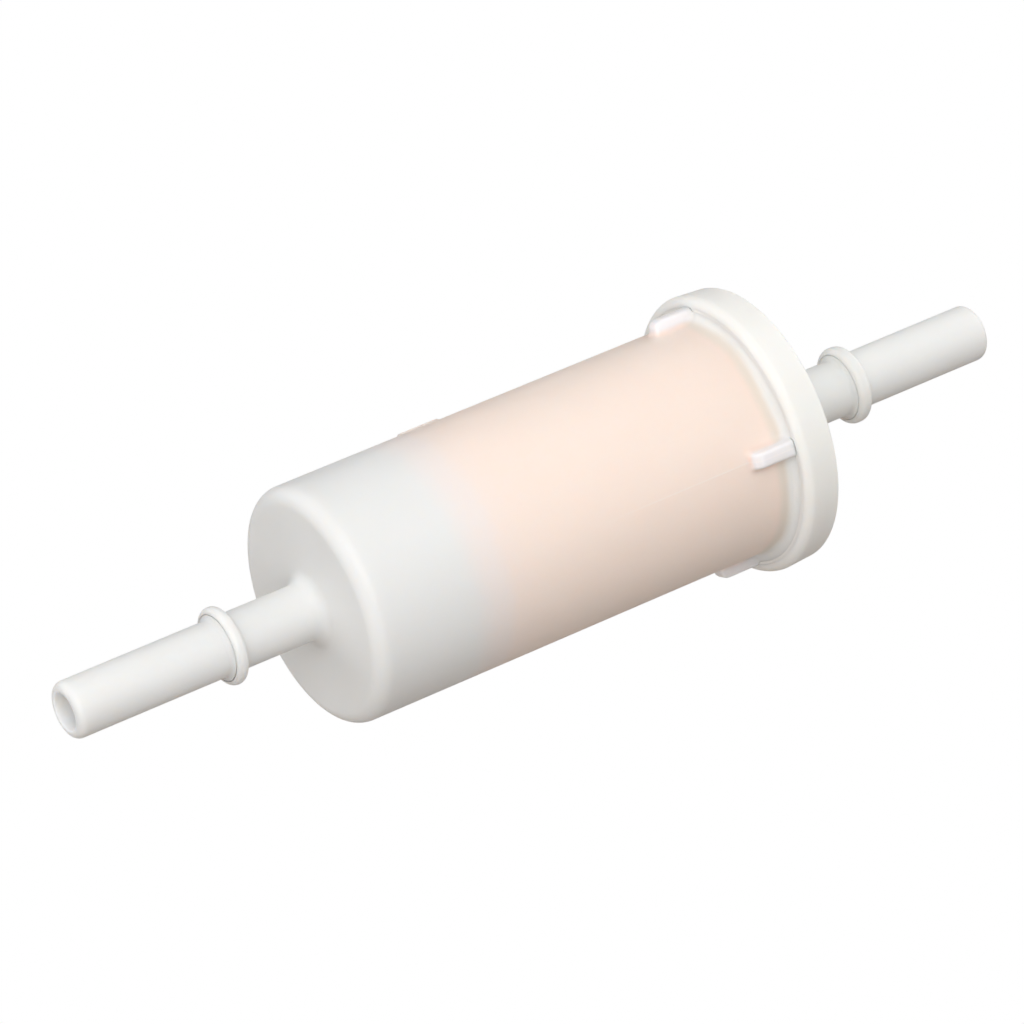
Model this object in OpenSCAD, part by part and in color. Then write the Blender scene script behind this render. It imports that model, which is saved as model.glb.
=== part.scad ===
// In-line fuel filter: a moulded nylon barrel with a welded lid, one beaded hose end on each,
// and a pleated paper element that is snapped on a nozzle inside the lid.
// X runs along the flow, from the tip of the inlet tube to the tip of the outlet tube.
// The origin is on the axis, half way between the two tips, and +Z is up.

/* [Overall] */
// Length from tube tip to tube tip
overall_len = 140.8; // [138:0.2:144]

/* [Tube ends] */
// Outer diameter of both tube ends, for a 5/16 in hose
tube_od = 7.6; // [7.4:0.02:8.1]
// Bore through both tube ends
tube_bore = 5; // [4.4:0.1:5.4]
// Edge radius of both tube tips
tip_round = 1.05; // [0.6:0.05:1.1]
// Fillet where the inlet tube meets the barrel
inlet_fillet = 1.8; // [0.8:0.1:2.2]
// Fillet where the outlet tube meets the lid
outlet_fillet = 1; // [0.4:0.1:1.4]

/* [Beads] */
// From the inlet tip to the middle of its bead
inlet_bead_at = 23.1; // [20:0.1:26]
// Outer diameter of the inlet bead
inlet_bead_od = 10.4; // [10:0.1:11]
// Width of the inlet bead
inlet_bead_width = 1.7; // [1.6:0.1:2.6]
// From the outlet tip to the middle of its bead
outlet_bead_at = 21.2; // [19:0.1:24]
// Outer diameter of the outlet bead
outlet_bead_od = 10.5; // [10:0.1:11]
// Width of the outlet bead
outlet_bead_width = 2; // [1.6:0.1:3]
// Edge radius of both beads
bead_round = 0.8; // [0.4:0.1:0.8]
// Fillet on both sides of a bead
bead_fillet = 0.7; // [0.2:0.1:0.8]

/* [Barrel] */
// Outer diameter of the barrel
barrel_od = 31.8; // [31.4:0.1:32]
// Wall of the barrel
barrel_wall = 1.6; // [1.4:0.05:1.7]
// Length of the inlet tube, from its tip to the barrel's end face
inlet_tube_len = 36; // [34:0.1:38]
// Thickness of the barrel's end wall
end_wall = 1.8; // [1.6:0.1:2.2]
// Edge radius around the barrel's end face
shoulder_round = 2.1; // [0.8:0.1:2.8]
// Thickness of the weld flange at the barrel's open end
flange_thick = 2.1; // [1.6:0.1:2.2]
// Outer diameter of the weld flange
flange_od = 34.6; // [34.2:0.1:34.6]
// Fillet where the barrel meets the weld flange
flange_fillet = 1; // [0.4:0.1:1.4]

/* [Lugs and arrow] */
// Number of lugs that brace the weld flange
lug_count = 4; // [3:1:6]
// Length of a lug along the barrel
lug_len = 5.9; // [4:0.1:8]
// Height of a lug above the barrel
lug_height = 1.9; // [1.4:0.1:1.9]
// Width of a lug around the barrel
lug_width = 2.1; // [1.6:0.1:3]
// Radius on a lug's free end
lug_round = 1.2; // [0.3:0.1:1.5]
// Turn of the first lug about the axis, from the top
lug_turn = -27; // [-45:1:45]
// Length of the raised flow arrow
arrow_len = 6.2; // [5:0.2:8]
// Width of the flow arrow's head
arrow_width = 3.4; // [2.4:0.1:4]
// Height of the flow arrow above the barrel
arrow_height = 0.24; // [0.15:0.01:0.4]
// Turn of the flow arrow about the axis, from the top
arrow_turn = -43; // [-60:1:60]

/* [Lid] */
// Outer diameter of the lid at its rim
lid_od = 38.1; // [37.8:0.1:38.4]
// Length of the lid's skirt and end wall together
lid_len = 5.2; // [5:0.1:5.3]
// Drop of the lid's radius from its rim to its outlet side
lid_taper = 0.24; // [0.1:0.02:0.4]
// Thickness of the lid's end wall
lid_wall = 3; // [2.8:0.1:3.1]
// Length of the outlet tube, from the lid's outer face to its tip
outlet_tube_len = 35.9; // [34:0.1:38]
// Edge radius of the lid's rim
lid_rim_round = 1.2; // [0.4:0.05:1.2]
// Edge radius of the lid's outlet side
lid_edge_round = 0.5; // [0.3:0.05:0.9]

/* [Element] */
// From the barrel's end face to the element's closed end
plenum_len = 19.2; // [16:0.1:20]
// Number of pleats in the paper
pleats = 24; // [20:1:26]
// Diameter over the pleat tips
pleat_od = 26; // [25.6:0.1:26]
// Diameter inside the pleats
pleat_id = 14; // [14:0.1:14.4]
// Thickness of the filter paper
paper = 0.4; // [0.3:0.02:0.42]
// Thickness of each end disc
disc_thick = 1.5; // [1.2:0.1:1.6]
// Depth of the adhesive under each end of the pleats
potting = 0.7; // [0.5:0.1:1]

/* [Support tube] */
// Outer diameter of the perforated support tube
core_od = 13.8; // [13.6:0.1:13.8]
// Wall of the support tube
core_wall = 0.8; // [0.7:0.05:0.85]
// Diameter of its holes
core_hole = 2.4; // [1.6:0.1:2.8]
// Rows of holes along the support tube
core_rows = 8; // [5:1:9]

/* [Hidden] */
$fn = 96;

over = 1;                                   // how far a cutter passes the face that it cuts
tube_r = tube_od / 2;
bore_r = tube_bore / 2;
barrel_r = barrel_od / 2;
barrel_in_r = barrel_r - barrel_wall;
flange_r = flange_od / 2;
lid_r = lid_od / 2;
lid_far_r = lid_r - lid_taper;

inlet_tip = -overall_len / 2;
outlet_tip = overall_len / 2;
face_x = inlet_tip + inlet_tube_len;        // the barrel's end face
lid_far_x = outlet_tip - outlet_tube_len;   // the lid's outer face
rim_x = lid_far_x - lid_len;                // the lid's rim
land_x = lid_far_x - lid_wall;              // the weld plane, where flange and lid meet
flange_x = land_x - flange_thick;

weld_gap = 0.35;                            // between the flange and the skirt of the lid
weld_sunk = 0.1;                            // how deep the bead lies behind the flange's face
lug_gap = 0.05;                             // between a lug and the lid's rim
skirt_r = flange_r + weld_gap;

// The lid's nozzle, which carries the element
nozzle_r = 4.95;
nozzle_len = 7.2;
nozzle_stop_r = 6.4;                        // a shoulder that the element seats on
nozzle_stop_len = 1.7;
snap_lip_len = 0.7;
snap_lip_height = 0.35;
groove_r = 3.75;
groove_width = 1.8;
groove_back = 0.9;                          // from the shoulder to the groove
nozzle_x = land_x - nozzle_len;
stop_x = land_x - nozzle_stop_len;
groove_x = stop_x - groove_back - groove_width / 2;

// The element
slide_gap = 0.1;                            // between parts that are pushed together
cup_lip = 0.6;                              // wall of the lip around each end disc
cup_depth = 1.5;                            // how far the lip covers the pleats
pleat_r = pleat_od / 2;
pleat_in_r = pleat_id / 2;
cup_in_r = pleat_r + slide_gap;
cup_r = cup_in_r + cup_lip;
core_r = core_od / 2;
core_in_r = core_r - core_wall;
closed_x = face_x + plenum_len;             // the closed disc's outer face
closed_in_x = closed_x + disc_thick;
open_x = stop_x;                            // the open disc's outer face, against the shoulder
open_in_x = open_x - disc_thick;
media_x0 = closed_in_x + potting;
media_x1 = open_in_x - potting;
collar_r = nozzle_r + slide_gap;
collar_wall = 0.95;
collar_x = nozzle_x + snap_lip_len + slide_gap;

// Turns an outline, drawn as radius against X, about the axis.
module turned() {
    rotate([0, 90, 0]) rotate_extrude() children();
}

// A rectangle of the outline, from x0 to x1 and from radius r0 to radius r1.
module band(x0, x1, r0, r1) {
    translate([r0, x0]) square([r1 - r0, x1 - x0]);
}

// The small area between a square corner and its fillet arc. The corner is at radius r and place x.
// A turn of 0 opens towards +r and +X, and each further 90 degrees takes it round by one quadrant.
module cove(x, r, fillet, turn) {
    translate([r, x]) rotate(turn) difference() {
        square(fillet);
        translate([fillet, fillet]) circle(fillet);
    }
}

// Outline of a bead around a tube, with its middle at x.
module bead(x, width, od) {
    x0 = x - width / 2;
    x1 = x + width / 2;
    difference() {
        band(x0, x1, 0, od / 2);
        cove(x0, od / 2, bead_round, 90);
        cove(x1, od / 2, bead_round, 180);
    }
    cove(x0, tube_r, bead_fillet, 270);
    cove(x1, tube_r, bead_fillet, 0);
}

// Outline of the barrel with its tube, as if it were solid.
module housing_outline() {
    difference() {
        band(inlet_tip, face_x + over, 0, tube_r);
        cove(inlet_tip, tube_r, tip_round, 90);
    }
    bead(inlet_tip + inlet_bead_at, inlet_bead_width, inlet_bead_od);
    cove(face_x, tube_r, inlet_fillet, 270);
    difference() {
        band(face_x, land_x, 0, barrel_r);
        cove(face_x, barrel_r, shoulder_round, 90);
    }
    band(flange_x, land_x, 0, flange_r);
    cove(flange_x, barrel_r, flange_fillet, 270);
}

// One lug, standing on top of the barrel against the flange. What stands above the flange ends at the rim.
module lug() {
    sunk = barrel_wall / 2;
    x0 = flange_x - lug_len;
    low = min(lug_height, flange_r - barrel_r - lug_gap);
    translate([0, lug_width / 2, 0]) rotate([90, 0, 0]) linear_extrude(lug_width) difference() {
        union() {
            translate([x0, barrel_r - sunk]) square([rim_x - lug_gap - x0, lug_height + sunk]);
            translate([x0, barrel_r - sunk]) square([lug_len + flange_thick / 2, low + sunk]);
        }
        translate([x0, barrel_r + lug_height]) rotate(270) difference() {
            square(lug_round);
            translate([lug_round, lug_round]) circle(lug_round);
        }
    }
}

// The raised flow arrow on top of the barrel. Its head points along the flow.
module flow_arrow() {
    head_len = arrow_len / 2;
    tip_x = closed_x + arrow_len + 1.7;
    sunk = barrel_wall / 2;
    intersection() {
        translate([0, 0, barrel_r - sunk]) linear_extrude(2 * sunk) {
            polygon([[tip_x, 0], [tip_x - head_len, arrow_width / 2], [tip_x - head_len, -arrow_width / 2]]);
            translate([tip_x - arrow_len, -arrow_width / 4]) square([head_len + over / 10, arrow_width / 2]);
        }
        translate([tip_x - arrow_len - over, 0, 0]) rotate([0, 90, 0])
            cylinder(h = arrow_len + 2 * over, r = barrel_r + arrow_height);
    }
}

module housing() {
    color([0.93, 0.93, 0.92]) {
        difference() {
            union() {
                turned() housing_outline();
                for (i = [0 : lug_count - 1]) rotate([lug_turn + 360 / lug_count * i, 0, 0]) lug();
                rotate([arrow_turn, 0, 0]) flow_arrow();
            }
            turned() band(face_x + end_wall, land_x + over, 0, barrel_in_r);
            turned() band(inlet_tip - over, face_x + end_wall + over, 0, bore_r);
        }
    }
}

// Outline of the lid with its tube and its nozzle, as if it had no bore.
module end_cap_outline() {
    difference() {
        polygon([[0, rim_x], [lid_r, rim_x], [lid_far_r, lid_far_x], [0, lid_far_x]]);
        cove(rim_x, lid_r, lid_rim_round, 90);
        cove(lid_far_x, lid_far_r, lid_edge_round, 180);
        band(rim_x - over, land_x, 0, skirt_r);
    }
    difference() {
        band(lid_far_x - over, outlet_tip, 0, tube_r);
        cove(outlet_tip, tube_r, tip_round, 180);
    }
    cove(lid_far_x, tube_r, outlet_fillet, 0);
    bead(outlet_tip - outlet_bead_at, outlet_bead_width, outlet_bead_od);
    difference() {
        band(nozzle_x, land_x + over, 0, nozzle_r);
        band(groove_x - groove_width / 2, groove_x + groove_width / 2, groove_r, nozzle_r + over);
    }
    band(stop_x, land_x + over, 0, nozzle_stop_r);
    polygon([[0, nozzle_x], [nozzle_r - snap_lip_height, nozzle_x],
             [nozzle_r + snap_lip_height, nozzle_x + snap_lip_len], [0, nozzle_x + snap_lip_len]]);
}

module end_cap() {
    color([0.96, 0.95, 0.93]) difference() {
        turned() end_cap_outline();
        turned() band(nozzle_x - over, outlet_tip + over, 0, bore_r);
    }
}

// The weld between flange and lid, with the small round bead that is squeezed out at the rim.
module weld_bead() {
    bead_r = weld_gap / 2;
    color([0.9, 0.89, 0.87]) turned() {
        band(flange_x + weld_sunk, land_x, flange_r, skirt_r);
        translate([flange_r + bead_r, flange_x + weld_sunk]) circle(bead_r);
    }
}

// The closed disc at the element's inlet end, with tabs that centre it in the barrel.
module closed_end_disc() {
    tab_count = 4;
    tab_width = 3;
    plug_len = 2;
    plug_wall = 1.2;
    tab_r = barrel_in_r - slide_gap;
    color([0.93, 0.91, 0.94]) {
        turned() {
            band(closed_x, closed_in_x, 0, cup_r);
            band(closed_x, closed_in_x + cup_depth, cup_in_r, cup_r);
            band(closed_x, closed_in_x + plug_len, core_in_r - slide_gap - plug_wall, core_in_r - slide_gap);
        }
        for (i = [0 : tab_count - 1]) rotate([360 / tab_count * i, 0, 0]) intersection() {
            translate([closed_x, -tab_width / 2, cup_in_r]) cube([disc_thick + cup_depth, tab_width, cup_lip * 3]);
            translate([closed_x, 0, 0]) rotate([0, 90, 0]) cylinder(h = disc_thick + cup_depth, r = tab_r);
        }
    }
}

module inlet_potting() {
    color([0.93, 0.87, 0.75]) turned() band(closed_in_x, media_x0, core_r, pleat_r);
}

module outlet_potting() {
    color([0.93, 0.87, 0.75]) turned() band(media_x1, open_in_x, core_r, pleat_r);
}

// Half a pleat's turn, and how far a fold is thicker than the paper, measured along the radius.
half_turn = 180 / pleats;
leg_run = pleat_r - pleat_in_r * cos(half_turn);
leg_rise = pleat_in_r * sin(half_turn);
tip_angle = atan(leg_rise / leg_run);
outer_fold = paper / sin(tip_angle);
inner_fold = paper / sin(tip_angle + half_turn);

// A star outline whose points alternate between two radii.
module star(tip_radius, valley_radius) {
    polygon([for (i = [0 : 2 * pleats - 1])
        let (r = i % 2 == 0 ? tip_radius : valley_radius) [r * cos(half_turn * i), r * sin(half_turn * i)]]);
}

module pleated_media() {
    color([0.93, 0.76, 0.66]) translate([media_x0, 0, 0]) rotate([0, 90, 0])
        linear_extrude(media_x1 - media_x0) difference() {
            star(pleat_r, pleat_in_r + inner_fold);
            star(pleat_r - outer_fold, pleat_in_r);
        }
}

// The channel that clamps the two ends of the paper together along one pleat tip.
module media_seam_clip() {
    clip_width = 1.5;
    clip_depth = 2;
    clip_back = 0.35;
    gap = 0.02;
    clip_x0 = closed_in_x + cup_depth + slide_gap;
    clip_x1 = open_in_x - cup_depth - slide_gap;
    mouth = (clip_depth + gap) * tan(tip_angle) + gap;
    color([0.9, 0.9, 0.88]) translate([clip_x0, 0, 0]) rotate([0, 90, 0])
        linear_extrude(clip_x1 - clip_x0) difference() {
            translate([pleat_r - clip_depth, -clip_width / 2]) square([clip_depth + clip_back, clip_width]);
            polygon([[pleat_r + gap, 0], [pleat_r - clip_depth - gap, mouth], [pleat_r - clip_depth - gap, -mouth]]);
        }
}

// The perforated tube that keeps the pleats from folding inwards.
module support_tube() {
    holes_across = 3;
    row_step = (media_x1 - media_x0) / core_rows;
    color([0.88, 0.88, 0.87]) difference() {
        turned() band(closed_in_x, open_in_x, core_in_r, core_r);
        for (row = [0 : core_rows - 1], turn = [0 : holes_across - 1])
            translate([media_x0 + row_step * (row + 0.5), 0, 0])
                rotate([180 / holes_across * (turn + row % 2 / 2), 0, 0])
                    cylinder(h = 2 * core_r + 2 * over, d = core_hole, center = true);
    }
}

// The open disc at the element's outlet end. Its collar slides over the lid's nozzle.
module open_end_disc() {
    color([0.93, 0.91, 0.88]) turned() {
        band(open_in_x, open_x, collar_r, cup_r);
        band(open_in_x - cup_depth, open_x, cup_in_r, cup_r);
        band(collar_x, open_x, collar_r, collar_r + collar_wall);
    }
}

module outlet_seal_ring() {
    squeeze = 0.03;
    cord_r = (collar_r - groove_r) / 2 - squeeze;
    color([0.2, 0.2, 0.2]) turned() translate([(collar_r + groove_r) / 2, groove_x]) circle(cord_r);
}

housing();
end_cap();
weld_bead();
closed_end_disc();
inlet_potting();
pleated_media();
media_seam_clip();
support_tube();
outlet_potting();
open_end_disc();
outlet_seal_ring();
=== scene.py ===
"""In-line fuel filter: a moulded nylon barrel with a welded lid and a pleated paper element inside.

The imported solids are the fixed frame, in metres: X runs along the flow, Z is up and the axis passes
through the origin. Turned skins replace the plain solids that show, and the rest of the solids
keep their shape and are dressed with the finish of their own material.
"""

import logging
import math
from dataclasses import dataclass, field
from enum import Enum
from typing import Any, Callable, Sequence

import bpy
import numpy as np
from mathutils import Matrix, Vector


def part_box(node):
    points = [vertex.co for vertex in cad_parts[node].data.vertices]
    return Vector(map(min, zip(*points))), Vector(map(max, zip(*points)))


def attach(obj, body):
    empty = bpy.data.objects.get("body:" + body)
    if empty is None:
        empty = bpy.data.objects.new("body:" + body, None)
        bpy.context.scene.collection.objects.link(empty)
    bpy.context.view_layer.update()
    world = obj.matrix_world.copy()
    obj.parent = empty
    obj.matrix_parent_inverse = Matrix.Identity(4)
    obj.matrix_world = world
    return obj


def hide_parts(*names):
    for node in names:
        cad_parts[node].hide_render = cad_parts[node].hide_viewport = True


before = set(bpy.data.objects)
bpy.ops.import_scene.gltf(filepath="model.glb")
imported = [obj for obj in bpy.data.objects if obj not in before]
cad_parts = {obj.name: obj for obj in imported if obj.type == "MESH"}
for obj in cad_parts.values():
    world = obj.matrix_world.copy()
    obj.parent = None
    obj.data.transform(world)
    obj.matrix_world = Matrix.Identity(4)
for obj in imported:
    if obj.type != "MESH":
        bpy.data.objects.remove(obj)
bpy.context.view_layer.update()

MM = 0.001
Colour = tuple[float, float, float]
Array = np.ndarray
Distance = Callable[[Array], Array]
Material = bpy.types.Material
Node = bpy.types.Node
Piece = bpy.types.Object
Socket = bpy.types.NodeSocket

log = logging.getLogger("fuel_filter")


class Slot(Enum):
    """The record's material slots."""

    BARREL = "barrel_nylon"
    LID = "lid_nylon"
    WELD = "weld_nylon"
    DISC = "disc_plastic"
    PAPER = "filter_paper"
    ADHESIVE = "adhesive"
    CLIP = "clip_plastic"
    RUBBER = "seal_rubber"


# ---- outlines and meshes


def around(x: Array, radius: Array, turn: Array) -> Array:
    """Gives the points at these places along the axis, radii and turns about it.

    Args:
        x: Places along the axis.
        radius: Distances from the axis.
        turn: Turns about the axis in radians, from the top towards -Y.

    Returns:
        The points, with one more dimension than the arrays have together.
    """
    x, radius, turn = np.broadcast_arrays(x, radius, turn)
    return np.stack([x, -radius * np.sin(turn), radius * np.cos(turn)], axis=-1)


def graded(start: float, end: float, coarse: float, spots: Sequence[tuple[float, float, float]]) -> Array:
    """Spaces lines between two ends, closer together near the spots that hold detail.

    Args:
        start: The first line.
        end: The last line.
        coarse: The widest step.
        spots: For each spot its middle, half its width and the step inside it.

    Returns:
        The lines, both ends among them.
    """
    growth = 0.3
    fine = np.linspace(start, end, 8001)
    step = np.full(fine.shape, coarse)
    for middle, half, small in spots:
        step = np.minimum(step, small + growth * np.maximum(np.abs(fine - middle) - half, 0))
    share = np.concatenate([[0], np.cumsum(0.5 * (1 / step[1:] + 1 / step[:-1]) * np.diff(fine))])
    count = max(2, math.ceil(share[-1]) + 1)
    return np.interp(np.linspace(0, share[-1], count), share, fine)


@dataclass
class Outline:
    """A turned outline, drawn as radius against X."""

    points: list[tuple[float, float]] = field(default_factory=list)

    def to(self, x: float, radius: float, steps: int = 1) -> None:
        """Draws a straight line to a point.

        Args:
            x: The point's place along the axis.
            radius: The point's radius.
            steps: How many pieces the line is cut in.
        """
        if not self.points:
            self.points.append((x, radius))
            return
        x0, r0 = self.points[-1]
        if math.hypot(x - x0, radius - r0) > MM / 1000:
            shares = [(i + 1) / steps for i in range(steps)]
            self.points += [(x0 + (x - x0) * s, r0 + (radius - r0) * s) for s in shares]

    def arc(self, x: float, radius: float, size: float, start: float, end: float, steps: int) -> None:
        """Draws an arc, with a straight line to its first point.

        Args:
            x: The place of the arc's centre.
            radius: The radius that the centre is at.
            size: The arc's own radius.
            start: The first angle in degrees, from +X towards a larger radius.
            end: The last angle in degrees.
            steps: How many pieces the arc is cut in.
        """
        for i in range(steps + 1):
            angle = math.radians(start + (end - start) * i / steps)
            self.to(x + size * math.cos(angle), radius + size * math.sin(angle))

    def corner(self, x: float, radius: float, size: float, start: float, end: float, steps: int) -> None:
        """Rounds the outline's corner at a point, with an arc whose angles say which way it bends.

        Args:
            x: The corner's place along the axis.
            radius: The corner's radius.
            size: The arc's own radius.
            start: The arc's first angle in degrees.
            end: Its last angle, up to 90 degrees from the first.
            steps: How many pieces the arc is cut in.
        """
        middle = math.radians((start + end) / 2)
        centre_x = x - math.copysign(size, math.cos(middle))
        centre_r = radius - math.copysign(size, math.sin(middle))
        self.arc(centre_x, centre_r, size, start, end, steps)

    def rings(self, turns: Array) -> Array:
        """Turns the outline about the axis.

        Args:
            turns: The turn of each column, in radians.

        Returns:
            Points as rows by columns by three.
        """
        drawn = np.array(self.points)
        return around(drawn[:, :1], drawn[:, 1:], turns[None, :])


def ring_piece(name: str, rings: Array) -> Piece:
    """Makes a closed smooth skin from rows that close on themselves in both directions.

    Args:
        name: The piece's name.
        rings: Points as rows by columns by three.

    Returns:
        The piece, linked in the scene.
    """
    rows, columns = rings.shape[:2]
    index = np.arange(rows * columns).reshape(rows, columns)
    across = np.roll(index, -1, axis=0)
    quads = np.stack([index, np.roll(index, -1, axis=1), np.roll(across, -1, axis=1), across], axis=-1)
    quads = quads.reshape(-1, 4)
    points = rings.reshape(-1, 3)
    a, b, c, d = (points[quads[:, i]] for i in range(4))
    if np.einsum("ij,ij->i", a + b + c + d, np.cross(c - a, d - b)).sum() < 0:
        quads = quads[:, ::-1]
    mesh = bpy.data.meshes.new(name)
    mesh.from_pydata(points.tolist(), [], quads.tolist())
    mesh.validate()
    mesh.shade_smooth()
    piece = bpy.data.objects.new(name, mesh)
    bpy.context.scene.collection.objects.link(piece)
    crisp = piece.modifiers.new("crisp_flats", "WEIGHTED_NORMAL")
    crisp.weight = 60
    return piece


# ---- soft distances


def round_corner(a: Array, b: Array, size: float) -> Array:
    """Distance outside the corner between two planes, with its edge rounded.

    Args:
        a: Distance outside the first plane.
        b: Distance outside the second plane.
        size: Radius of the edge.

    Returns:
        The distance, negative inside.
    """
    a, b = a + size, b + size
    return np.hypot(np.maximum(a, 0), np.maximum(b, 0)) + np.minimum(np.maximum(a, b), 0) - size


def soft_join(a: Array, b: Array, reach: float) -> Array:
    """Joins two shapes with a fillet.

    Args:
        a: Distance outside the first shape.
        b: Distance outside the second shape.
        reach: How far the fillet reaches.

    Returns:
        The distance outside both.
    """
    near = np.maximum(reach - np.abs(a - b), 0) / reach
    return np.minimum(a, b) - near * near * reach / 4


def onto_skin(points: Array, distance: Distance, rounds: int = 2) -> Array:
    """Moves points along the shape's own direction until they lie on its skin.

    Args:
        points: The points, with three numbers in the last dimension.
        distance: Distance outside the shape.
        rounds: How many times they are moved.

    Returns:
        The moved points.
    """
    reach = MM / 1000
    for _ in range(rounds):
        slope = [distance(points + step) - distance(points - step) for step in np.eye(3) * reach]
        slope = np.stack(slope, axis=-1)
        length = np.maximum(np.linalg.norm(slope, axis=-1, keepdims=True), 1e-12)
        points = points - distance(points)[..., None] * slope / length
    return points


def relaxed(points: Array, weight: Array, distance: Distance, rounds: int) -> Array:
    """Spreads a patch of rows and columns evenly over a skin.

    Args:
        points: The patch, as rows by columns by three.
        weight: How freely each point moves, from 0 to 1. The patch's rim stays.
        distance: Distance outside the shape.
        rounds: How many times the patch is spread.

    Returns:
        The patch on the skin.
    """
    free = 0.5 * weight[1:-1, 1:-1, None]
    for _ in range(rounds):
        beside = points[2:, 1:-1] + points[:-2, 1:-1] + points[1:-1, 2:] + points[1:-1, :-2]
        points = points.copy()
        points[1:-1, 1:-1] += free * (beside / 4 - points[1:-1, 1:-1])
        points = onto_skin(points, distance, 1)
    return onto_skin(points, distance)


def smooth_step(value: Array, low: float, high: float) -> Array:
    """Rises smoothly from 0 at low to 1 at high.

    Args:
        value: Where to read the step.
        low: Where it leaves 0.
        high: Where it reaches 1.

    Returns:
        The step's height.
    """
    share = np.clip((value - low) / (high - low), 0, 1)
    return share * share * (3 - 2 * share)


def inside_polygon(x: Array, y: Array, corners: Sequence[tuple[float, float]]) -> Array:
    """Distance from the edge of a polygon, positive inside it.

    Args:
        x: First coordinates.
        y: Second coordinates.
        corners: The polygon's corners in order.

    Returns:
        The distance.
    """
    nearest = np.full(np.broadcast(x, y).shape, np.inf)
    inside = np.zeros(nearest.shape, bool)
    for (x0, y0), (x1, y1) in zip(corners, [*corners[1:], corners[0]]):
        dx, dy = x1 - x0, y1 - y0
        share = np.clip(((x - x0) * dx + (y - y0) * dy) / (dx * dx + dy * dy), 0, 1)
        nearest = np.minimum(nearest, np.hypot(x - x0 - share * dx, y - y0 - share * dy))
        if y0 != y1:
            crossed = (y0 > y) != (y1 > y)
            inside ^= crossed & (x < x0 + (y - y0) * dx / dy)
    return np.where(inside, nearest, -nearest)


# ---- shader building


class Graph:
    """Adds nodes to a shader tree and links them, so that a finish reads as a list of steps."""

    def __init__(self, tree: bpy.types.NodeTree) -> None:
        """Takes an empty tree."""
        self.tree = tree

    def plug(self, source: Any, target: Socket) -> None:
        """Links a socket to another, or sets its plain value.

        Args:
            source: A socket, a value, or None to leave the target as it is.
            target: The input that takes it.
        """
        if isinstance(source, Socket):
            self.tree.links.new(source, target)
        elif source is not None:
            target.default_value = source

    def add(self, kind: str, *sources: Any, named: dict[str, Any] | None = None, **settings: Any) -> Node:
        """Adds a node.

        Args:
            kind: The node's type.
            sources: What goes in each input in turn: a socket, a value, or None to leave it.
            named: What goes in the inputs with these names.
            settings: The node's own options.

        Returns:
            The node.
        """
        node = self.tree.nodes.new(kind)
        for name, value in settings.items():
            setattr(node, name, value)
        for source, target in zip(sources, node.inputs):
            self.plug(source, target)
        for name, source in (named or {}).items():
            self.plug(source, node.inputs[name])
        return node

    def math(self, operation: str, *sources: Any) -> Socket:
        """Adds a math step and gives its result."""
        return self.add("ShaderNodeMath", *sources, operation=operation).outputs[0]

    def step(self, value: Any, low: float, high: float, to_low: float = 0.0, to_high: float = 1.0) -> Socket:
        """Maps a value smoothly from one range to another, clamped at both ends."""
        sources = (value, low, high, to_low, to_high)
        return self.add("ShaderNodeMapRange", *sources, interpolation_type="SMOOTHSTEP").outputs[0]

    def noise(self, vector: Any, scale: Any, detail: float = 2.0, roughness: float = 0.5) -> Socket:
        """Adds a noise pattern and gives its value, from 0 to 1."""
        named = {"Vector": vector, "Scale": scale, "Detail": detail, "Roughness": roughness}
        return self.add("ShaderNodeTexNoise", named=named).outputs[0]

    def blend(self, factor: Any, first: Any, second: Any, mode: str = "MIX") -> Socket:
        """Mixes two colours.

        Args:
            factor: The share of the second colour.
            first: The first colour.
            second: The second colour.
            mode: How the second is laid over the first.

        Returns:
            The colour socket.
        """
        node = self.add("ShaderNodeMix", data_type="RGBA", blend_type=mode)
        for source, target in zip((factor, first, second), (node.inputs[0], node.inputs[6], node.inputs[7])):
            self.plug(opaque(source) if isinstance(source, tuple) else source, target)
        return node.outputs[2]

    def ramp(self, value: Any, stops: Sequence[tuple[float, Colour]]) -> Socket:
        """Adds a colour ramp and gives its colour.

        Args:
            value: Where the ramp is read.
            stops: Places and colours, in order.

        Returns:
            The colour socket.
        """
        node = self.add("ShaderNodeValToRGB", value)
        elements = node.color_ramp.elements
        node.color_ramp.interpolation = "EASE"
        while len(elements) < len(stops):
            elements.new(0.5)
        for element, (place, colour) in zip(elements, stops):
            element.position = place
            element.color = opaque(colour)
        return node.outputs[0]


def opaque(colour: Colour) -> tuple[float, float, float, float]:
    """The colour with full alpha."""
    return (*colour, 1.0)


def new_material(name: str) -> tuple[Material, Graph]:
    """Starts an empty material.

    Args:
        name: The material's name.

    Returns:
        The material and a graph on it.
    """
    material = bpy.data.materials.new(name)
    material.use_nodes = True
    material.node_tree.nodes.clear()
    return material, Graph(material.node_tree)


def new_group(name: str, control: str, value: float, outputs: Sequence[str]) -> Graph:
    """Starts a shader node group with value sockets.

    Args:
        name: The group's name.
        control: Its input's name.
        value: The input's value.
        outputs: The outputs' names.

    Returns:
        A graph on the group's tree.
    """
    tree = bpy.data.node_groups.new(name, "ShaderNodeTree")
    socket = tree.interface.new_socket(name=control, in_out="INPUT", socket_type="NodeSocketFloat")
    socket.default_value = value
    for label in outputs:
        tree.interface.new_socket(name=label, in_out="OUTPUT", socket_type="NodeSocketFloat")
    return Graph(tree)


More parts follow.
